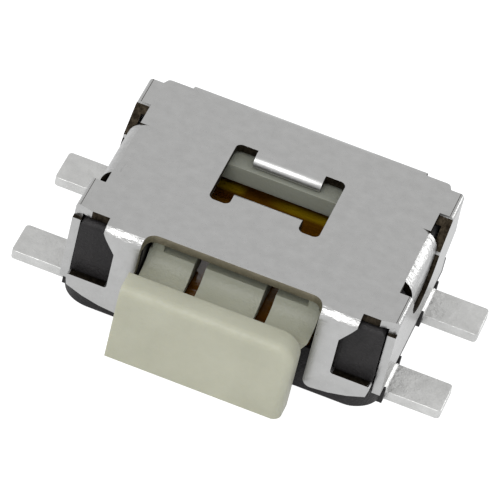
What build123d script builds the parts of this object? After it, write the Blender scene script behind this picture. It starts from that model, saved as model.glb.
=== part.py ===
"""Side-push surface-mount tactile switch, in millimetres.

X runs across the switch, the button points to -Y and Z is up. The origin is the centre of the
terminal pattern, on the board. Pieces that are the same on the left and the right are drawn on the
right and mirrored.
"""

import os

from build123d import *

# ---- driving dimensions -------------------------------------------------------------------

# Stamped steel cover
cover_width = 4.60
cover_depth = 3.50
cover_top = 1.65
cover_sheet = 0.12
cover_bend = 0.10            # inside radius of the front and back folds
cover_edge = 0.06            # outside radius of the coined side folds
band_bottom = 0.40           # lower edge of the side bands
band_setback = 0.20          # of the side bands behind the front face
ear_setback = 0.30           # of the rear ears in front of the back face
ear_height = 0.30            # straight part of a rear ear's end
hump_setback = 0.18          # of the side bands' rear humps in front of the back face
hump_z = 0.90
heel_setback = 0.50          # of the side bands' rear heels in front of the back face
heel_z = 0.68
ear_chamfer = 0.06           # length of the front ears' chamfer along Y
ear_chamfer_drop = 0.20      # how far below the roof's top it reaches
back_wall_inset = 0.60       # from the side face to the end of the back wall
back_wall_bottom = 0.36
roof_setback = 0.19          # cut edge of the roof beside the back wall
roof_corner_inset = 0.25     # the roof's corners are relieved outside this
roof_corner_round = 0.07

# Front legs, beside the button's window
window_corner = 0.18         # plan rounding where the roof meets the legs
foot_corner = 0.12           # inner lower corner of a foot
leg_width = 0.33
leg_flare = 0.20             # how much a leg widens into the roof
leg_flare_drop = 0.40        # below the roof's top
foot_tip_inset = 0.12        # from the side face
foot_top = 0.65
foot_bottom = 0.28
foot_sole = 0.06             # how far the sole has risen halfway to the tip
foot_round = 0.04

# I-shaped slot, the tongue bent down from its front edge and the rolled lip of its rear edge
slot_centre = 0.18
slot_half_width = 0.79
slot_half_depth = 0.63
slot_corner = 0.09
tongue_half = 0.49
tongue_fold = 0.44           # from the slot's centre to the start of the tongue's bend
lip_fold = 0.575             # and to the start of the lip's bend
tongue_bend = 0.02           # inside radius of both
tongue_drop = 0.28           # from the roof's top to the tongue's lower edge

# D-shaped side flaps
flap_back = 0.50
flap_front = -0.60
flap_height = 0.75           # from the roof's top to the bottom of the D
flap_shoulder_drop = 0.39    # where the D's curved edge starts
flap_bend = 0.16             # inside radius of the flap's soft bend
flap_inset = 0.06            # how far the flap is pressed in behind the band
flap_gap = 0.04              # sheared gap between flap and band
relief_back = 0.42           # how far the rear relief hole runs past the flap
relief_front = 0.29          # and the front one
relief_rise = 0.06           # from the flap's shoulder to the hole's lowest point
relief_drop = 0.04           # from the roof's top to the hole's far end
relief_inset = 0.20          # from the side face to a relief hole's inner edge

# Stamped contacts, two terminals each
terminal_span = 6.20
terminal_pitch = 1.70
terminal_width = 0.60
terminal_corner = 0.06
contact_sheet = 0.15
contact_floor = 0.40         # top of the contacts, which is the chamber's floor
ramp_reach = 0.04            # from the flange's side out to where a lead starts to climb
ramp_length = 0.26
lead_bar = 0.26              # bar that joins the two leads of one contact
pad_radius = 0.36
pad_neck = 0.34
ring_hole = 0.60             # radius of the hole round the centre pad
ring_gap = 0.14              # beside the centre contact's neck

# Snap dome and film
dome_diameter = 2.10
dome_trim = 1.80             # across the two trimmed flats
dome_sheet = 0.05
dome_gap = 0.01              # under the film
film_sheet = 0.05
film_margin = 0.04
film_ledge = 0.16            # width of the shelf beside the dome's chamber

# Base
base_shelf = 0.80            # flat top that carries the film
flange_inset = 0.03          # from the cover's side face
flange_drop = 0.05           # below the side bands
flange_corner = 0.42         # plan radius of the lower front corners
base_edge = 0.09             # chamfer under the front edge
rear_wall = 0.25
flap_recess = 0.18           # how deep the base's sides are cut back behind the flaps
boss_reach = 0.04            # moulded bosses beside each terminal's root
boss_side = 0.09
boss_height = 0.22

# Button
button_width = 2.60
button_reach = 0.58          # in front of the cover's front face
block_depth = 0.36
block_edge = 0.13            # rounding of the block's upper front edge
worn_corner = 0.30           # rounding of its lower right corner
button_lift = 0.03           # above the board
button_travel = 0.20
arm_bottom = 0.93
arm_drop = 0.26              # from the cover's roof to the tops of the arms and the block
scoop_z = 1.05               # lowest point of the scoop behind the block
scoop_low = 0.18             # from the block's back to that point
scoop_end = 0.60             # and to the end of the scoop
scoop_lip = 0.10             # how much the scoop rises again to the block
slit_setback = 0.14          # from the block's back to the slits between the arms
finger_half = 0.42
finger_slit = 0.16
finger_tip = 0.02
finger_round = 0.10
nose_depth = 0.26
arm_width = 0.32             # of a side arm, beside the slot
arm_step = 1.35              # from the block's back, where a side arm narrows
bar_depth = 0.58
bar_bottom = 1.22
bar_drop = 0.05              # from the cover's roof to the bar's top
bar_lug = 0.25               # how far the bar's ends stand past the guides
rib_width = 0.16

# Clearances
base_fit = 0.02              # cover over base
leg_fit = 0.02               # cover's legs beside the base's guides
slide_fit = 0.03             # button in its guides
stop_fit = 0.04              # bar before the rear wall, when the button is pushed in
nose_fit = 0.03              # button's nose over the film
dome_fit = 0.04              # dome in its chamber

# ---- sizes that follow --------------------------------------------------------------------

side_face = cover_width / 2
front_face = -cover_depth / 2
back_face = cover_depth / 2
bend_outer = cover_bend + cover_sheet
roof_under = cover_top - cover_sheet
roof_front = front_face + bend_outer
roof_corner = side_face - roof_corner_inset
roof_back = back_face - roof_setback
back_wall_half = side_face - back_wall_inset
band_front = front_face + band_setback
ear_chamfer_bottom = cover_top - ear_chamfer_drop
relief_half = side_face - relief_inset
ear_back = back_face - ear_setback
ear_foot = cover_top - ear_height
hump_back = back_face - hump_setback
heel_back = back_face - heel_setback
ear_front = front_face + bend_outer + ear_chamfer
flap_outer = flap_bend + cover_sheet
flap_middle = (flap_front + flap_back) / 2
flap_bottom = cover_top - flap_height
flap_shoulder = cover_top - flap_shoulder_drop
tongue_outer = tongue_bend + cover_sheet
tongue_end = cover_top - tongue_drop
lip_depth = slot_half_depth - lip_fold

base_half = side_face - cover_sheet - base_fit
base_front = front_face + cover_sheet + base_fit
base_back = back_face - cover_sheet - base_fit
base_middle = (base_front + base_back) / 2
base_top = roof_under - base_fit
flange_half = side_face - flange_inset
flange_top = band_bottom - flange_drop
chamber_back = base_back - rear_wall
chamber_radius = dome_diameter / 2 + dome_fit
guide_half = chamber_radius + film_ledge
film_top = base_shelf + film_sheet

window_half = guide_half + leg_fit
leg_half = window_half + leg_width
leg_root_half = leg_half + leg_flare
leg_flare_z = cover_top - leg_flare_drop
foot_tip = side_face - foot_tip_inset
foot_height = foot_top - foot_bottom

button_front = front_face - button_reach
block_back = button_front + block_depth
neck_half = guide_half - slide_fit
arm_inner = neck_half - arm_width
arm_top = roof_under - arm_drop
slit_half = finger_half + finger_slit
bar_back = chamber_back - button_travel - stop_fit
bar_front = bar_back - bar_depth
bar_top = roof_under - bar_drop
bar_half = guide_half + bar_lug

terminal_tip = terminal_span / 2
terminal_y = terminal_pitch / 2
ramp_foot = flange_half + ramp_reach
root_half = flange_half + boss_reach
ramp_head = ramp_foot - ramp_length
bar_y = terminal_y + terminal_width / 2
contact_under = contact_floor - contact_sheet
dome_rise = base_shelf - dome_gap - dome_sheet - contact_floor
dome_radius = (dome_diameter**2 / 4 + dome_rise**2) / (2 * dome_rise)


def write(part, name):
    """Labels a finished piece and writes it as its own STEP file."""
    part.label = name
    export_step(part, os.path.join("parts", name + ".step"))


def at_x(sketch, x):
    """The corners of a sketch that lie at one X."""
    return sketch.vertices().filter_by_position(Axis.X, x - 0.001, x + 0.001)


os.makedirs("parts", exist_ok=True)

# ---- cover --------------------------------------------------------------------------------

# The outside of the folded shell and its hollow: round folds at the front and back, coined sides.
with BuildPart() as shell:
    with BuildSketch(Plane.YZ) as shell_side:
        Rectangle(cover_depth, cover_top, align=(Align.CENTER, Align.MIN))
        fillet(shell_side.vertices().group_by(Axis.Z)[-1], bend_outer)
    extrude(amount=cover_width / 2, both=True)
    with BuildSketch(Plane.XZ) as shell_front:
        Rectangle(cover_width, cover_top, align=(Align.CENTER, Align.MIN))
        fillet(shell_front.vertices().group_by(Axis.Z)[-1], cover_edge)
    extrude(amount=cover_depth, both=True, mode=Mode.INTERSECT)
    with BuildSketch(Plane.YZ) as hollow:
        Rectangle(cover_depth - 2 * cover_sheet, roof_under, align=(Align.CENTER, Align.MIN))
        fillet(hollow.vertices().group_by(Axis.Z)[-1], cover_bend)
    extrude(amount=side_face - cover_sheet, both=True, mode=Mode.SUBTRACT)

# Front legs and their L-shaped feet: the front wall of the shell, trimmed to their outline.
with BuildPart() as legs:
    add(shell.part)
    split(bisect_by=Plane.XZ.offset(-roof_front), keep=Keep.TOP)
    with BuildSketch(Plane.XZ) as leg_outline:
        with BuildLine():
            bottom_start = (window_half + foot_corner, foot_bottom)
            inner_low = (window_half, foot_bottom + foot_corner)
            foot_rise = (foot_tip - foot_round, foot_top - foot_height / 2)
            sole = ((leg_half + foot_tip) / 2 - foot_height / 4, foot_bottom + foot_sole)
            Polyline(
                (window_half - window_corner, cover_top),
                (window_half - window_corner, cover_top - bend_outer),
                (window_half, cover_top - bend_outer),
                inner_low,
            )
            RadiusArc(inner_low, bottom_start, -foot_corner)
            ThreePointArc(bottom_start, sole, foot_rise)
            Polyline(
                foot_rise,
                (foot_tip, foot_top),
                (leg_half, foot_top),
                (leg_half, leg_flare_z),
                (leg_root_half, roof_under),
                (leg_root_half, cover_top),
                (window_half - window_corner, cover_top),
            )
        make_face()
        fillet(at_x(leg_outline, foot_tip), foot_round)
        fillet(at_x(leg_outline, leg_half).sort_by(Axis.Z)[0], foot_round)
        mirror(about=Plane.YZ)
    extrude(amount=cover_depth, mode=Mode.INTERSECT)

# Side flaps: a soft bend and a short wall, trimmed to the D.
with BuildPart() as flaps:
    with BuildSketch(Plane.XZ) as flap_section:
        with BuildLine():
            flap_face = side_face - flap_inset
            root = flap_face - flap_outer
            bend_foot = cover_top - flap_outer
            Line((root - bend_outer, cover_top), (root, cover_top))
            RadiusArc((root, cover_top), (flap_face, bend_foot), flap_outer)
            Polyline(
                (flap_face, bend_foot),
                (flap_face, flap_bottom / 2),
                (flap_face - cover_sheet, flap_bottom / 2),
                (flap_face - cover_sheet, bend_foot),
            )
            RadiusArc((flap_face - cover_sheet, bend_foot), (root, roof_under), -flap_bend)
            Polyline(
                (root, roof_under),
                (root - bend_outer, roof_under),
                (root - bend_outer, cover_top),
            )
        make_face()
        mirror(about=Plane.YZ)
    extrude(amount=cover_depth / 2, both=True)
    with BuildSketch(Plane.YZ):
        with BuildLine():
            Line((flap_back, cover_top), (flap_back, flap_shoulder))
            ThreePointArc((flap_back, flap_shoulder), (flap_middle, flap_bottom), (flap_front, flap_shoulder))
            Line((flap_front, flap_shoulder), (flap_front, cover_top))
            Line((flap_front, cover_top), (flap_back, cover_top))
        make_face()
    extrude(amount=cover_width, both=True, mode=Mode.INTERSECT)

# Front tongue, and the rear lip, which is the same bend with no straight wall under it.
with BuildPart() as tongues:
    with BuildSketch(Plane.YZ):
        with BuildLine():
            fold = slot_centre - tongue_fold
            face = fold + tongue_outer
            bend_end = cover_top - tongue_outer
            Line((fold, roof_under), (fold, cover_top))
            RadiusArc((fold, cover_top), (face, bend_end), tongue_outer)
            Polyline(
                (face, bend_end),
                (face, tongue_end),
                (face - cover_sheet, tongue_end),
                (face - cover_sheet, bend_end),
            )
            RadiusArc((face - cover_sheet, bend_end), (fold, roof_under), -tongue_bend)
        make_face()
    with BuildSketch(Plane.YZ):
        with BuildLine():
            fold = slot_centre + lip_fold
            face = fold - tongue_outer
            Line((fold, roof_under), (fold, cover_top))
            RadiusArc((fold, cover_top), (face, bend_end), -tongue_outer)
            Line((face, bend_end), (face + cover_sheet, bend_end))
            RadiusArc((face + cover_sheet, bend_end), (fold, roof_under), tongue_bend)
        make_face()
    extrude(amount=tongue_half, both=True)

# What is cut out of both side walls: a D-shaped opening with a relief hole at each end of its flap,
# and the rear end, which leaves a straight ear, a hump and a heel.
with BuildPart() as side_cuts:
    with BuildSketch(Plane.YZ):
        with BuildLine():
            hole_low = flap_shoulder + relief_rise
            hole_high = cover_top - relief_drop
            hole_back = flap_back + relief_back
            hole_front = flap_front - relief_front
            gap_back = flap_back + flap_gap
            gap_front = flap_front - flap_gap
            Polyline(
                (gap_front, flap_shoulder),
                (gap_front, hole_low),
                (hole_front, hole_high),
                (hole_front, cover_top),
                (hole_back, cover_top),
                (hole_back, hole_high),
                (gap_back, hole_low),
                (gap_back, flap_shoulder),
            )
            ThreePointArc(
                (gap_back, flap_shoulder),
                (flap_middle, flap_bottom - flap_gap),
                (gap_front, flap_shoulder),
            )
        make_face()
        with BuildLine():
            Polyline(
                (ear_back, cover_top),
                (ear_back, ear_foot),
                (hump_back, hump_z),
                (heel_back, heel_z),
                (heel_back, 0),
                (back_face, 0),
                (back_face, cover_top),
                (ear_back, cover_top),
            )
        make_face()
    extrude(amount=side_face, both=True)
    Box(2 * relief_half, 2 * cover_depth, 4 * cover_top, mode=Mode.SUBTRACT)

with BuildPart() as cover:
    add(shell.part)

    # Roof and walls in plan: relieved back corners, and a straight front.
    with BuildSketch() as plan:
        with BuildLine():
            Polyline(
                (0, back_face),
                (back_wall_half, back_face),
                (back_wall_half, roof_back),
                (roof_corner, roof_back),
                (relief_half, ear_back),
                (relief_half, hump_back),
                (side_face, hump_back),
                (side_face, band_front),
                (roof_corner, band_front),
                (roof_corner, roof_front),
                (0, roof_front),
                (0, back_face),
            )
        make_face()
        fillet(at_x(plan, roof_corner).sort_by(Axis.Y)[-1], roof_corner_round)
        mirror(about=Plane.YZ)
    extrude(amount=cover_top, mode=Mode.INTERSECT)

    # The front ears are chamfered above the bands.
    with BuildSketch(Plane.XY.offset(ear_chamfer_bottom)):
        with BuildLine():
            Polyline(
                (side_face, ear_front),
                (side_face, front_face),
                (leg_root_half, front_face),
                (leg_root_half, roof_front),
                (roof_corner, roof_front),
                (side_face, ear_front),
            )
        make_face()
        mirror(about=Plane.YZ)
    extrude(amount=cover_top, mode=Mode.SUBTRACT)

    # The bands and the back wall end above the board.
    Box(
        2 * cover_width,
        2 * (back_face - cover_sheet),
        band_bottom,
        align=(Align.CENTER, Align.CENTER, Align.MIN),
        mode=Mode.SUBTRACT,
    )
    Box(
        cover_width,
        cover_depth,
        back_wall_bottom,
        align=(Align.CENTER, Align.CENTER, Align.MIN),
        mode=Mode.SUBTRACT,
    )

    add(side_cuts.part, mode=Mode.SUBTRACT)

    # The roof is cut back where each flap's soft bend starts, and the flaps are set in.
    with Locations((0, flap_middle, flap_shoulder)):
        Box(
            2 * cover_width,
            flap_back - flap_front,
            cover_top,
            align=(Align.CENTER, Align.CENTER, Align.MIN),
            mode=Mode.SUBTRACT,
        )
    with Locations((0, flap_middle, roof_under)):
        Box(
            2 * (side_face - flap_inset - flap_outer),
            flap_back - flap_front,
            cover_sheet,
            align=(Align.CENTER, Align.CENTER, Align.MIN),
        )
    add(flaps.part)

    # I-shaped slot, then its tongue and lip.
    with BuildSketch(Plane.XY.offset(roof_under)) as slot:
        with Locations((0, slot_centre)):
            Rectangle(2 * slot_half_width, 2 * slot_half_depth)
        with Locations((0, slot_centre - tongue_fold)):
            Rectangle(2 * tongue_half, cover_depth, align=(Align.CENTER, Align.MAX), mode=Mode.SUBTRACT)
        with Locations((0, slot_centre + lip_fold)):
            Rectangle(2 * tongue_half, cover_depth, align=(Align.CENTER, Align.MIN), mode=Mode.SUBTRACT)
        slot_ends = slot.vertices().group_by(Axis.Y)
        outer_back = slot_ends[-1].sort_by(Axis.X)
        fillet([*slot_ends[0], outer_back[0], outer_back[-1]], slot_corner)
    extrude(amount=cover_sheet, mode=Mode.SUBTRACT)
    add(tongues.part)

    # Front legs, and the button window's rounded corners.
    add(legs.part)
    with BuildSketch(Plane.XY.offset(foot_top)) as window:
        with Locations((0, roof_front)):
            Rectangle(2 * window_half, cover_depth, align=(Align.CENTER, Align.MAX))
        fillet(window.vertices().group_by(Axis.Y)[-1], window_corner)
    extrude(amount=cover_top, mode=Mode.SUBTRACT)
write(cover.part, "cover")

# ---- contacts -----------------------------------------------------------------------------

# The two leads of the right-hand contact: flat on the board, then a ramp up to the chamber floor.
with BuildPart() as leads:
    with BuildSketch(Plane.XZ) as lead_section:
        with BuildLine():
            Polyline(
                (terminal_tip, 0),
                (ramp_foot, 0),
                (ramp_head, contact_under),
                (ramp_head - lead_bar, contact_under),
                (ramp_head - lead_bar, contact_floor),
                (ramp_head, contact_floor),
                (ramp_foot, contact_sheet),
                (terminal_tip, contact_sheet),
                (terminal_tip, 0),
            )
        make_face()
    extrude(amount=terminal_span, both=True)
    with BuildSketch() as lead_plan:
        with Locations((0, terminal_y), (0, -terminal_y)):
            Rectangle(terminal_tip, terminal_width, align=(Align.MIN, Align.CENTER))
        fillet(at_x(lead_plan, terminal_tip), terminal_corner)
    extrude(amount=cover_top, mode=Mode.INTERSECT)

# Right-hand contact: a ring under the dome's rim.
with BuildPart() as rim_contact:
    with BuildSketch(Plane.XY.offset(contact_under)):
        Rectangle(2 * chamber_radius, dome_trim + 2 * dome_fit)
        with Locations((ramp_head - lead_bar / 2, 0)):
            Rectangle(lead_bar, 2 * bar_y)
        Rectangle(ramp_head - lead_bar, pad_neck, align=(Align.MIN, Align.CENTER))
        Circle(ring_hole, mode=Mode.SUBTRACT)
        Rectangle(
            dome_diameter,
            pad_neck + 2 * ring_gap,
            align=(Align.MAX, Align.CENTER),
            mode=Mode.SUBTRACT,
        )
    extrude(amount=contact_sheet)
    add(leads.part)
write(rim_contact.part, "rim_contact")

# Left-hand contact: a pad under the dome's crown.
with BuildPart() as centre_contact:
    with BuildSketch(Plane.XY.offset(contact_under)):
        Circle(pad_radius)
        Rectangle(ramp_head - lead_bar, pad_neck, align=(Align.MAX, Align.CENTER))
        with Locations((lead_bar / 2 - ramp_head, 0)):
            Rectangle(lead_bar, 2 * bar_y)
    extrude(amount=contact_sheet)
    add(mirror(leads.part, about=Plane.YZ, mode=Mode.PRIVATE))
write(centre_contact.part, "centre_contact")

# ---- base ---------------------------------------------------------------------------------

with BuildPart() as base:
    # Flange under the cover's side bands, with rounded front corners.
    with BuildSketch() as flange:
        with Locations((0, base_middle)):
            Rectangle(2 * flange_half, base_back - base_front)
        fillet(flange.vertices().group_by(Axis.Y)[0], flange_corner)
    extrude(amount=flange_top)
    chamfer(base.faces().sort_by(Axis.Z)[0].edges().group_by(Axis.Y)[0], base_edge)

    # Body inside the cover, rounded where the cover folds over it.
    with Locations((0, base_middle, flange_top)):
        Box(
            2 * base_half,
            base_back - base_front,
            base_top - flange_top,
            align=(Align.CENTER, Align.CENTER, Align.MIN),
        )
    fillet(base.faces().sort_by(Axis.Z)[-1].edges(), cover_bend)

    # Sides cut back behind the flaps.
    with BuildSketch(Plane.XY.offset(flap_bottom - 2 * flap_gap)):
        with GridLocations(2 * base_half, 0, 2, 1):
            with Locations((0, flap_middle)):
                Rectangle(2 * flap_recess, flap_back - flap_front + 2 * flap_gap)
    extrude(amount=cover_top, mode=Mode.SUBTRACT)

    # Way for the button's neck, and a wider one behind it for the ends of its bar.
    with BuildSketch(Plane.XY.offset(base_shelf)):
        with Locations((0, chamber_back)):
            Rectangle(2 * guide_half, cover_depth, align=(Align.CENTER, Align.MAX))
    extrude(amount=cover_top, mode=Mode.SUBTRACT)
    with BuildSketch(Plane.XY.offset(bar_bottom - slide_fit)):
        with Locations((0, chamber_back)):
            Rectangle(
                2 * (bar_half + slide_fit),
                chamber_back - bar_front + slide_fit,
                align=(Align.CENTER, Align.MAX),
            )
    extrude(amount=cover_top, mode=Mode.SUBTRACT)

    # Chamber for the dome, with the two contacts moulded in.
    with BuildSketch(Plane.XY.offset(contact_floor)):
        Circle(chamber_radius)
        Rectangle(cover_width, dome_trim + 2 * dome_fit, mode=Mode.INTERSECT)
    extrude(amount=cover_top, mode=Mode.SUBTRACT)

    # Bosses beside the terminals, with the flange open above each terminal's climbing root.
    with BuildSketch():
        with GridLocations(root_half + base_half, terminal_pitch, 2, 2):
            Rectangle(root_half - base_half, terminal_width + 2 * boss_side)
    extrude(amount=boss_height)
    with BuildSketch():
        with GridLocations(root_half + base_half, terminal_pitch, 2, 2):
            Rectangle(root_half - base_half, terminal_width)
    extrude(amount=flange_top, mode=Mode.SUBTRACT)
    add(rim_contact.part, mode=Mode.SUBTRACT)
    add(centre_contact.part, mode=Mode.SUBTRACT)
write(base.part, "base")

# ---- snap dome and film -------------------------------------------------------------------

# Shallow spherical cap on the rim contact, with two sides trimmed off.
with BuildPart() as snap_dome:
    with BuildSketch(Plane.XZ):
        with BuildLine():
            apex = contact_floor + dome_rise
            rim = dome_diameter / 2
            RadiusArc((0, apex), (rim, contact_floor), dome_radius)
            Line((rim, contact_floor), (rim, contact_floor + dome_sheet))
            RadiusArc((rim, contact_floor + dome_sheet), (0, apex + dome_sheet), -dome_radius)
            Line((0, apex + dome_sheet), (0, apex))
        make_face()
    revolve(axis=Axis.Z)
    with Locations((0, 0, contact_floor)):
        Box(dome_diameter, dome_trim, cover_top, mode=Mode.INTERSECT)
write(snap_dome.part, "snap_dome")

with BuildPart() as film:
    film_front = base_front + film_margin
    film_back = chamber_back - film_margin
    with BuildSketch(Plane.XY.offset(base_shelf)) as film_plan:
        with Locations((0, (film_front + film_back) / 2)):
            Rectangle(2 * (guide_half - film_margin), film_back - film_front)
        fillet(film_plan.vertices(), film_margin)
    extrude(amount=film_sheet)
write(film.part, "film")

# ---- button -------------------------------------------------------------------------------

# Neck: one side profile, with the scoop behind the block, cut to three arms in plan.
with BuildPart() as arms:
    with BuildSketch(Plane.YZ):
        with BuildLine():
            scoop_back = block_back + scoop_end
            Line((block_back, arm_bottom), (block_back, scoop_z + scoop_lip))
            ThreePointArc(
                (block_back, scoop_z + scoop_lip),
                (block_back + scoop_low, scoop_z),
                (scoop_back, arm_top),
            )
            Polyline(
                (scoop_back, arm_top),
                (bar_back, arm_top),
                (bar_back, arm_bottom),
                (block_back, arm_bottom),
            )
        make_face()
    extrude(amount=neck_half, both=True)
    with BuildSketch() as arms_plan:
        narrow = block_back + arm_step
        with BuildLine():
            Polyline(
                (slit_half, block_back),
                (neck_half, block_back),
                (neck_half, bar_back),
                (arm_inner, bar_back),
                (arm_inner, narrow),
                (slit_half, narrow - (arm_inner - slit_half)),
                (slit_half, block_back),
            )
        make_face()
        mirror(about=Plane.YZ)
        with Locations((0, block_back)):
            Rectangle(2 * finger_half, finger_tip - block_back, align=(Align.CENTER, Align.MIN))
            Rectangle(2 * neck_half, slit_setback, align=(Align.CENTER, Align.MIN))
        fillet(arms_plan.vertices().filter_by_position(Axis.Y, finger_tip, finger_tip), finger_round)
    extrude(amount=cover_top, mode=Mode.INTERSECT)

with BuildPart() as button:
    # Push block, with its worn lower corner.
    with BuildSketch(Plane.XZ.offset(-block_back)) as block_outline:
        with Locations((0, button_lift)):
            Rectangle(button_width, arm_top - button_lift, align=(Align.CENTER, Align.MIN))
        fillet(at_x(block_outline, button_width / 2).sort_by(Axis.Z)[0], worn_corner)
    extrude(amount=block_depth)
    upper_front = button.edges().filter_by(Axis.X).sort_by(Axis.Z)[-2:].sort_by(Axis.Y)[0]
    fillet(upper_front, block_edge)
    add(arms.part)

    # Pressing nose under the finger's tip, just above the film.
    with Locations((0, finger_tip, film_top + nose_fit)):
        Box(
            finger_half,
            nose_depth,
            arm_top - film_top - nose_fit,
            align=(Align.CENTER, Align.MAX, Align.MIN),
        )

    # Rear bar, and ribs on the side arms that run under the cover's roof.
    with Locations((0, bar_front, bar_bottom)):
        Box(2 * bar_half, bar_depth, bar_top - bar_bottom, align=(Align.CENTER, Align.MIN, Align.MIN))
    with BuildSketch(Plane.XY.offset(scoop_z)):
        rib_x = neck_half - rib_width / 2 - slide_fit
        with Locations((rib_x, bar_back), (-rib_x, bar_back)):
            Rectangle(rib_width, bar_back - scoop_back, align=(Align.CENTER, Align.MAX))
    extrude(amount=roof_under - slide_fit - scoop_z)
write(button.part, "button")
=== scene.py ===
"""Side-push tactile switch: the looks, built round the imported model. Metres, Z up, button to -Y."""

from math import cos, radians, sin

import bmesh
import bpy
from mathutils import Matrix, Vector
from mathutils.bvhtree import BVHTree


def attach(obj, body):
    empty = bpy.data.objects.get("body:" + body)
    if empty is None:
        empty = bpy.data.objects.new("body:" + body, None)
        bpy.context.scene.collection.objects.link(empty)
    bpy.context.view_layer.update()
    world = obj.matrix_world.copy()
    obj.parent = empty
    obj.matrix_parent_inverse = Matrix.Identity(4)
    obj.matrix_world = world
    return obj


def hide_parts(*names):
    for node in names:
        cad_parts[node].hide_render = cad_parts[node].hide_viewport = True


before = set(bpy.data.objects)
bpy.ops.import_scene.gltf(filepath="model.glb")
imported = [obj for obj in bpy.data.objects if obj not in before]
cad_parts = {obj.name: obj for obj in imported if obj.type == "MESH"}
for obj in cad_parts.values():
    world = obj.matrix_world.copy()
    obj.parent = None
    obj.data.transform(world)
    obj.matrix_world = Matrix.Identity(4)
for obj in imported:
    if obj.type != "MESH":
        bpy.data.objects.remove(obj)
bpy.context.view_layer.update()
MM = 0.001

# ---- studio -------------------------------------------------------------------------------
# A white table with soft lamps round it. The table and the sky look white to the eye and in the
# metal, and the sky that lights the dull surfaces is a plain pale grey.

scene = bpy.context.scene
scene.view_settings.view_transform = "Standard"

TABLE_SIZE = 300 * MM
SKY_LIGHT = 0.75              # on the dull surfaces
SKY_SHOWN = 1.0               # to the eye and in the metal
TABLE_GLOW = 0.72             # in the metal
TABLE_SHOWN = 1.0             # to the eye

table_mesh = bmesh.new()
bmesh.ops.create_grid(table_mesh, x_segments=1, y_segments=1, size=TABLE_SIZE)
table_data = bpy.data.meshes.new("table")
table_mesh.to_mesh(table_data)
table_mesh.free()
table = bpy.data.objects.new("table", table_data)
scene.collection.objects.link(table)


def shown_rays(nodes, links):
    """A value that is 1 for rays from the camera, from gloss and through glass."""
    path = nodes.new("ShaderNodeLightPath")
    seen = nodes.new("ShaderNodeMath")
    seen.operation = "MAXIMUM"
    links.new(path.outputs["Is Camera Ray"], seen.inputs[0])
    links.new(path.outputs["Is Glossy Ray"], seen.inputs[1])
    shown = nodes.new("ShaderNodeMath")
    shown.operation = "MAXIMUM"
    links.new(seen.outputs[0], shown.inputs[0])
    links.new(path.outputs["Is Transmission Ray"], shown.inputs[1])
    return shown.outputs[0]


table_paint = bpy.data.materials.new("white_table")
table_paint.use_nodes = True
nodes, links = table_paint.node_tree.nodes, table_paint.node_tree.links
nodes.clear()
dull = nodes.new("ShaderNodeBsdfDiffuse")
dull.inputs["Color"].default_value = (0.8, 0.8, 0.8, 1)
faint = nodes.new("ShaderNodeBsdfDiffuse")
faint.inputs["Color"].default_value = (0.3, 0.3, 0.3, 1)
glow = nodes.new("ShaderNodeEmission")
direct = nodes.new("ShaderNodeLightPath")
strength = nodes.new("ShaderNodeMapRange")
strength.inputs["To Min"].default_value = TABLE_GLOW
strength.inputs["To Max"].default_value = TABLE_SHOWN
links.new(direct.outputs["Is Camera Ray"], strength.inputs["Value"])
links.new(strength.outputs["Result"], glow.inputs["Strength"])
lit = nodes.new("ShaderNodeAddShader")
links.new(faint.outputs[0], lit.inputs[0])
links.new(glow.outputs[0], lit.inputs[1])
pick = nodes.new("ShaderNodeMixShader")
links.new(shown_rays(nodes, links), pick.inputs[0])
links.new(dull.outputs[0], pick.inputs[1])
links.new(lit.outputs[0], pick.inputs[2])
out = nodes.new("ShaderNodeOutputMaterial")
links.new(pick.outputs[0], out.inputs["Surface"])
table.data.materials.append(table_paint)

sky = bpy.data.worlds.new("sky")
scene.world = sky
sky.use_nodes = True
nodes, links = sky.node_tree.nodes, sky.node_tree.links
nodes.clear()
plain = nodes.new("ShaderNodeBackground")
plain.inputs["Color"].default_value = (0.95, 0.97, 1.0, 1)
plain.inputs["Strength"].default_value = SKY_LIGHT
white = nodes.new("ShaderNodeBackground")
white.inputs["Strength"].default_value = SKY_SHOWN
pick = nodes.new("ShaderNodeMixShader")
links.new(shown_rays(nodes, links), pick.inputs[0])
links.new(plain.outputs[0], pick.inputs[1])
links.new(white.outputs[0], pick.inputs[2])
out = nodes.new("ShaderNodeOutputWorld")
links.new(pick.outputs[0], out.inputs["Surface"])


def lamp(name, place, size, power):
    """A square soft lamp at a place in millimetres, aimed at the middle of the switch."""
    data = bpy.data.lights.new(name, "AREA")
    data.size = size * MM
    data.energy = power
    item = bpy.data.objects.new(name, data)
    item.location = Vector(place) * MM
    item.rotation_euler = (-item.location).to_track_quat("-Z", "Y").to_euler()
    scene.collection.objects.link(item)


lamp("key", (-14, -66, 74), 44, 0.036)
lamp("side", (70, 78, 16), 50, 0.026)

# The camera looks down at the front of the switch from a little to its right, a long lens away.
AZIMUTH = radians(9.32)
ELEVATION = radians(41.15)
ROLL = radians(14.47)
DISTANCE = 75.9 * MM
LENS = 402.4
SENSOR = 36
CLIP = (5 * MM, 2)
TARGET = Vector((-0.18, 0.29, 0.38)) * MM

back = Vector((sin(AZIMUTH) * cos(ELEVATION), -cos(AZIMUTH) * cos(ELEVATION), sin(ELEVATION)))
level = Vector((cos(AZIMUTH), sin(AZIMUTH), 0))
upright = back.cross(level)
across = cos(ROLL) * level + sin(ROLL) * upright
up = cos(ROLL) * upright - sin(ROLL) * level
camera_data = bpy.data.cameras.new("camera")
camera_data.lens = LENS
camera_data.sensor_width = SENSOR
camera_data.clip_start, camera_data.clip_end = CLIP
camera = bpy.data.objects.new("camera", camera_data)
turn = Matrix((across, up, back)).transposed().to_4x4()
camera.matrix_world = Matrix.Translation(TARGET + DISTANCE * back) @ turn
scene.collection.objects.link(camera)
scene.camera = camera

# ---- cover --------------------------------------------------------------------------------
# One folded stamping of thin satin steel. Its outer faces are smooth with a faint mottle, the
# folds are drawn and crinkled, and the sheared edges are rougher and painted dark as shade, with a
# lit tan painted on the front edge over the button.

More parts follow.
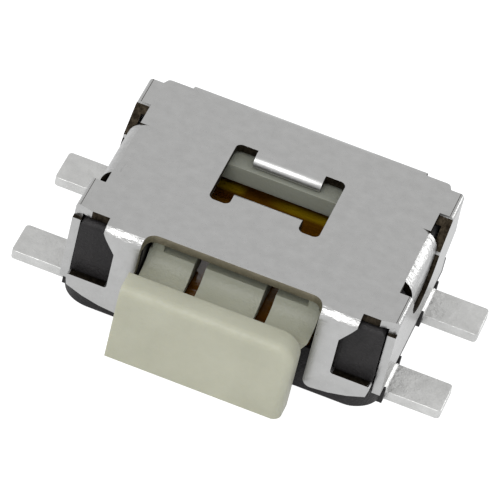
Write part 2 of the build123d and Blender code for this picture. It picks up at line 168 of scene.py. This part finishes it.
SHEET = 0.12 * MM
SHEET_SLACK = 0.012 * MM      # how far a skin's thickness may be from the sheet's
BAND_INSIDE = 2.15 * MM       # the side bands lie outside this, to either side
NOTCH_HALF = 1.29 * MM        # the roof's front edge over the button is this long to either side, lies in front of this, and is painted as a lit edge, not shaded
NOTCH_Y = -1.3 * MM           # lies in front of this, and has stayed clean
SLOT_CLEAR = 0.9 * MM         # folds outside this are crinkled, and the slot's own are smooth
COVER_EDGE = 0.01             # millimetres, as the edges below
MERGE = 0.0002 * MM           # corners this near are one
FLAT = radians(0.5)           # faces this near to one plane are one
SHARP = radians(32)           # edges sharper than this are rolled over
ROLL_STEPS = 3
LARGE_FACES_LEAD = 80         # how far large faces set the shading
ROOF_AREA = 2 * MM * MM       # a face larger than this is never an edge


def speckle_group():
    """Node group: patches in two sizes on the piece, as a value from 0 to 1."""
    group = bpy.data.node_groups.new("speckle", "ShaderNodeTree")
    group.interface.new_socket("Size per mm", in_out="INPUT", socket_type="NodeSocketFloat")
    group.interface.new_socket("Vector", in_out="INPUT", socket_type="NodeSocketVector")
    group.interface.new_socket("Value", in_out="OUTPUT", socket_type="NodeSocketFloat")
    group_in = group.nodes.new("NodeGroupInput")
    group_out = group.nodes.new("NodeGroupOutput")
    per_metre = group.nodes.new("ShaderNodeMath")
    per_metre.operation = "MULTIPLY"
    per_metre.inputs[1].default_value = 1 / MM
    noise = group.nodes.new("ShaderNodeTexNoise")
    noise.inputs["Detail"].default_value = 3
    noise.inputs["Roughness"].default_value = 0.6
    group.links.new(group_in.outputs["Size per mm"], per_metre.inputs[0])
    group.links.new(per_metre.outputs[0], noise.inputs["Scale"])
    group.links.new(group_in.outputs["Vector"], noise.inputs["Vector"])
    group.links.new(noise.outputs["Fac"], group_out.inputs["Value"])
    return group


speckle = speckle_group()


class Paint:
    """A Principled material with short calls for its patterns, all on Object coordinates."""

    def __init__(self, name, metallic=0.0, coat=0.0):
        self.material = bpy.data.materials.new(name)
        self.material.use_nodes = True
        self.nodes = self.material.node_tree.nodes
        self.links = self.material.node_tree.links
        self.shader = self.nodes["Principled BSDF"]
        self.shader.inputs["Metallic"].default_value = metallic
        self.shader.inputs["Coat Weight"].default_value = coat
        self.place = self.nodes.new("ShaderNodeTexCoord")

    def patches(self, per_mm, stretch=(1, 1, 1)):
        """Speckle of that many patches per millimetre, drawn out by stretch."""
        mapping = self.nodes.new("ShaderNodeMapping")
        mapping.inputs["Scale"].default_value = stretch
        self.links.new(self.place.outputs["Object"], mapping.inputs["Vector"])
        group = self.nodes.new("ShaderNodeGroup")
        group.node_tree = speckle
        group.inputs["Size per mm"].default_value = per_mm
        self.links.new(mapping.outputs[0], group.inputs["Vector"])
        return group.outputs["Value"]

    def ramp(self, value, low, high, out_low=0.0, out_high=1.0):
        """Maps low to high onto out_low to out_high, clamped."""
        node = self.nodes.new("ShaderNodeMapRange")
        node.inputs["From Min"].default_value = low
        node.inputs["From Max"].default_value = high
        node.inputs["To Min"].default_value = out_low
        node.inputs["To Max"].default_value = out_high
        self.links.new(value, node.inputs["Value"])
        return node.outputs["Result"]

    def math(self, operation, first, second):
        """One Math node on two values or sockets."""
        node = self.nodes.new("ShaderNodeMath")
        node.operation = operation
        for slot, value in zip(node.inputs, (first, second)):
            if isinstance(value, (int, float)):
                slot.default_value = value
            else:
                self.links.new(value, slot)
        return node.outputs[0]

    def mix(self, amount, low, high):
        """Mixes two colours or colour sockets."""
        node = self.nodes.new("ShaderNodeMix")
        node.data_type = "RGBA"
        self.links.new(amount, node.inputs["Factor"])
        for slot, value in ((node.inputs[6], low), (node.inputs[7], high)):
            if isinstance(value, tuple):
                slot.default_value = (*value, 1)
            else:
                self.links.new(value, slot)
        return node.outputs[2]

    def colour(self, socket):
        self.links.new(socket, self.shader.inputs["Base Color"])

    def roughness(self, socket):
        self.links.new(socket, self.shader.inputs["Roughness"])

    def bump(self, height, depth):
        """Relief of that depth in millimetres."""
        node = self.nodes.new("ShaderNodeBump")
        node.inputs["Strength"].default_value = 1
        node.inputs["Distance"].default_value = depth * MM
        self.links.new(height, node.inputs["Height"])
        self.links.new(node.outputs[0], self.shader.inputs["Normal"])


def finished_copy(name, body, edge, finishes):
    """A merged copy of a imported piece, with its edges rolled over, that carries the finishes."""
    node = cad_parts[name]
    source = bmesh.new()
    source.from_mesh(node.data)
    bmesh.ops.remove_doubles(source, verts=source.verts, dist=MERGE)
    bmesh.ops.dissolve_limit(source, angle_limit=FLAT, verts=source.verts, edges=source.edges)
    for face in source.faces:
        face.smooth = True
    data = bpy.data.meshes.new(name + "_skin")
    source.to_mesh(data)
    source.free()
    item = bpy.data.objects.new(name + "_skin", data)
    scene.collection.objects.link(item)
    for finish in finishes:
        data.materials.append(finish.material)
    rolled = item.modifiers.new("rolled_edges", "BEVEL")
    rolled.width = edge * MM
    rolled.segments = ROLL_STEPS
    rolled.limit_method = "ANGLE"
    rolled.angle_limit = SHARP
    rolled.loop_slide = False
    even = item.modifiers.new("even_normals", "WEIGHTED_NORMAL")
    even.weight = LARGE_FACES_LEAD
    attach(item, body)
    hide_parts(name)
    return item


steel = Paint("cover_steel", metallic=1)
mottle = steel.patches(6)
fine = steel.patches(32)
steel_spot = steel.nodes.new("ShaderNodeSeparateXYZ")
steel.links.new(steel.place.outputs["Object"], steel_spot.inputs[0])
tilt = steel.nodes.new("ShaderNodeSeparateXYZ")
steel.links.new(steel.place.outputs["Normal"], tilt.inputs[0])
off_flat = steel.ramp(tilt.outputs["Z"], 0.97, 0.86)
off_upright = steel.ramp(tilt.outputs["Z"], 0.12, 0.4)
folded = steel.math("MULTIPLY", off_flat, off_upright)
aside = steel.math("ABSOLUTE", steel_spot.outputs["X"], 0)
outside = steel.ramp(aside, SLOT_CLEAR, 1.1 * SLOT_CLEAR)
crinkle = steel.math("MULTIPLY", outside, steel.patches(8, (0.5, 1.5, 0.8)))
steel.colour(steel.mix(steel.ramp(mottle, 0.3, 0.7), (0.475, 0.475, 0.47), (0.525, 0.525, 0.52)))
satin = steel.ramp(fine, 0.2, 0.8, 0.25, 0.35)
steel.roughness(steel.math("ADD", satin, steel.math("MULTIPLY", folded, 0.06)))
grain = steel.math("MULTIPLY", fine, 0.04)
relief = steel.math("ADD", grain, steel.math("MULTIPLY", folded, crinkle))
steel.bump(relief, 0.024)

sheared = Paint("sheared_steel", metallic=1)
tear = sheared.patches(16, (1, 1, 0.6))
spot = sheared.nodes.new("ShaderNodeSeparateXYZ")
sheared.links.new(sheared.place.outputs["Object"], spot.inputs[0])
# Painted light and shade: the cut edges are painted near black as shade. The roof's front edge over
# the button is the exception and is painted a lighter tan as a lit edge.
near = sheared.ramp(sheared.math("ABSOLUTE", spot.outputs["X"], 0), 1.03 * NOTCH_HALF, NOTCH_HALF)
front = sheared.ramp(spot.outputs["Y"], 0.95 * NOTCH_Y, 1.05 * NOTCH_Y)
unshaded = sheared.math("MULTIPLY", near, front)
painted_shade_edge = sheared.mix(sheared.ramp(tear, 0.35, 0.65), (0.012, 0.009, 0.006), (0.045, 0.036, 0.025))
sheared.colour(sheared.mix(unshaded, painted_shade_edge, (0.26, 0.235, 0.175)))
sheared.roughness(sheared.ramp(sheared.patches(20), 0.2, 0.8, 0.4, 0.6))
sheared.bump(tear, 0.01)

cover = finished_copy("cover", "housing", COVER_EDGE, [steel, sheared])

# A face with its far side one sheet thickness behind it is a skin, and so are the coined side
# folds and the front ends of the side bands. Any other small face is a sheared edge.
solid = bmesh.new()
solid.from_mesh(cover.data)
tree = BVHTree.FromBMesh(solid)
solid.faces.ensure_lookup_table()
for face in solid.faces:
    start = face.calc_center_median_weighted() - face.normal * 0.002 * MM
    _, _, _, depth = tree.ray_cast(start, -face.normal)
    side_fold = face.normal.z > 0.1 and abs(face.normal.x) > 0.1 and abs(face.normal.y) < 0.05
    band_end = face.normal.y < -0.9 and abs(face.calc_center_median().x) > BAND_INSIDE
    skin = side_fold or band_end or depth is not None and abs(depth - SHEET) < SHEET_SLACK
    if face.calc_area() < ROOF_AREA and not skin:
        face.material_index = 1
solid.to_mesh(cover.data)
solid.free()

# ---- base ---------------------------------------------------------------------------------
# One black moulding of glass-filled plastic, with a fine spark-eroded grain and soft edges. The
# two contacts are moulded into it.

BASE_EDGE = 0.02

black = Paint("base_plastic")
grain = black.patches(26)
cloud = black.patches(3)
black.colour(black.mix(black.ramp(cloud, 0.35, 0.65), (0.011, 0.01, 0.0105), (0.02, 0.018, 0.0185)))
black.roughness(black.ramp(grain, 0.25, 0.75, 0.36, 0.56))
black.bump(grain, 0.012)
black.shader.inputs["Specular IOR Level"].default_value = 0.3
finished_copy("base", "housing", BASE_EDGE, [black])

# ---- contacts -----------------------------------------------------------------------------
# Two stampings of silver-plated brass, moulded into the base. The plating is pale and slightly
# cloudy.

CONTACT_EDGE = 0.014

plate = Paint("plated_contact", metallic=1)
cloud = plate.patches(4)
fine = plate.patches(24)
plate.colour(plate.mix(plate.ramp(cloud, 0.3, 0.7), (0.6, 0.6, 0.59), (0.7, 0.7, 0.69)))
plate.roughness(plate.ramp(fine, 0.2, 0.8, 0.36, 0.52))
plate.bump(plate.math("ADD", fine, plate.math("MULTIPLY", cloud, 3)), 0.008)
finished_copy("centre_contact", "housing", CONTACT_EDGE, [plate])
finished_copy("rim_contact", "housing", CONTACT_EDGE, [plate])

# ---- snap dome ----------------------------------------------------------------------------
# A spring dome of thin stainless strip, bright, with a rolled grain along Y. It flattens when the
# button is pressed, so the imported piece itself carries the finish.

spring = Paint("dome_steel", metallic=1)
grain = spring.patches(20, (1, 0.08, 1))
spring.colour(spring.mix(grain, (0.55, 0.55, 0.54), (0.68, 0.68, 0.67)))
spring.roughness(spring.ramp(grain, 0.2, 0.8, 0.2, 0.34))
spring.bump(grain, 0.003)
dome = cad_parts["snap_dome"]
dome.data.materials.clear()
dome.data.materials.append(spring.material)

# ---- film ---------------------------------------------------------------------------------
# Amber adhesive film over the dome's chamber. It is glossy, a little wavy where it is stuck down,
# and carries a painted band of light along its rear part, left out in the middle where shadow falls.

STREAK_Y = 0.84 * MM
STREAK_WIDTH = 0.12 * MM
RIGHT_LIT = (-0.2 * MM, 0.15 * MM)     # where the painted light band starts and is full
LEFT_LIT = (-0.5 * MM, -0.62 * MM)

amber = Paint("amber_film", coat=0.6)
wave = amber.patches(2.2, (0.5, 1.3, 1))
split = amber.nodes.new("ShaderNodeSeparateXYZ")
amber.links.new(amber.place.outputs["Object"], split.inputs[0])
off = amber.math("ABSOLUTE", amber.math("SUBTRACT", split.outputs["Y"], STREAK_Y), 0)
right = amber.ramp(split.outputs["X"], *RIGHT_LIT)
left = amber.ramp(split.outputs["X"], *LEFT_LIT)
lit_sides = amber.math("MAXIMUM", right, left)
# Painted light: a lighter yellow band across the film behind the bar, left out in the middle where
# shadow falls.
streak = amber.math("MULTIPLY", lit_sides, amber.ramp(off, STREAK_WIDTH, 0.3 * STREAK_WIDTH))
brown = amber.mix(amber.ramp(wave, 0.35, 0.65), (0.07, 0.02, 0.001), (0.16, 0.065, 0.002))
amber.colour(amber.mix(streak, brown, (0.42, 0.27, 0.005)))
amber.roughness(amber.ramp(wave, 0.3, 0.7, 0.12, 0.3))
amber.bump(wave, 0.05)
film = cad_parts["film"]
film.data.materials.clear()
film.data.materials.append(amber.material)

# ---- button -------------------------------------------------------------------------------
# One ivory moulding, satin, with soft edges. It slides between the base and the cover's roof, and
# its neck and rear bar are painted a darker grey-green, as painted shade under the roof.

NECK_SHADE = (-1.9 * MM, -1.3 * MM)    # where the painted shade under the roof starts and is full
BAR_SHADE = (-0.3 * MM, 0.5 * MM)
BLOCK_BACK = -1.9 * MM                  # the push block lies in front of this
BLOCK_SIDE = 1.0 * MM                   # its right side lies outside this
BLOCK_INSET = 0.11 * MM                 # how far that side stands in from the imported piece's
BUTTON_EDGE = 0.03

ivory = Paint("button_plastic")
cloud = ivory.patches(1.6)
grain = ivory.patches(22)
unshaded = ivory.mix(ivory.ramp(cloud, 0.3, 0.7), (0.44, 0.435, 0.335), (0.49, 0.485, 0.38))
spot = ivory.nodes.new("ShaderNodeSeparateXYZ")
ivory.links.new(ivory.place.outputs["Object"], spot.inputs[0])
# Painted shade: the neck and the rear bar are painted darker grey-green where they run in under the
# roof.
neck = ivory.mix(ivory.ramp(spot.outputs["Y"], *NECK_SHADE, 0, 0.7), unshaded, (0.2, 0.21, 0.165))
bar_shaded = ivory.ramp(spot.outputs["Y"], *BAR_SHADE, 0, 0.85)
ivory.colour(ivory.mix(bar_shaded, neck, (0.235, 0.24, 0.2)))
ivory.roughness(ivory.ramp(grain, 0.25, 0.75, 0.38, 0.5))
ivory.bump(ivory.math("ADD", grain, ivory.math("MULTIPLY", cloud, 2)), 0.007)
ivory.shader.inputs["Subsurface Weight"].default_value = 0.15
ivory.shader.inputs["Subsurface Radius"].default_value = (0.3 * MM, 0.25 * MM, 0.15 * MM)
ivory.shader.inputs["Subsurface Scale"].default_value = 1
button = finished_copy("button", "button", BUTTON_EDGE, [ivory])
for vertex in button.data.vertices:
    if vertex.co.y < BLOCK_BACK and vertex.co.x > BLOCK_SIDE:
        vertex.co.x -= BLOCK_INSET
